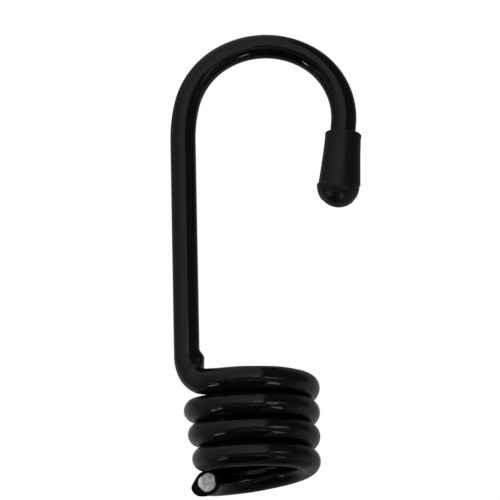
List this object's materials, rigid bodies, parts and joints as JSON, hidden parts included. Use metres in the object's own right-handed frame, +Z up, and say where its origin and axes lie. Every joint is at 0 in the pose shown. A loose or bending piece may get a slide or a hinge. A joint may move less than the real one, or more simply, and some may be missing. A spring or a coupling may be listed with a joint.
{
  "type": "bungee cord hook",
  "caption": "Open hook of black coated steel wire whose shank winds into a close, tapered coil for an elastic cord, with a soft push-on cap over the tip.",
  "frame": {"origin": "the point inside the crown of the hook that bears on the rail it hangs on", "axes": "+Z up along the shank, -X towards the shank, +X towards the tip, -Y towards the side that shows the wire's cut end"},
  "size_m": [0.0304, 0.022, 0.0739],
  "materials": {
    "steel": "sheared end of drawn wire",
    "coating": "glossy black",
    "cap": "matte black"
  },
  "bodies": {
    "root": {"steel_wire": "steel", "plastic_coating": "coating", "tip_cap": "cap"}
  },
  "joints": []
}
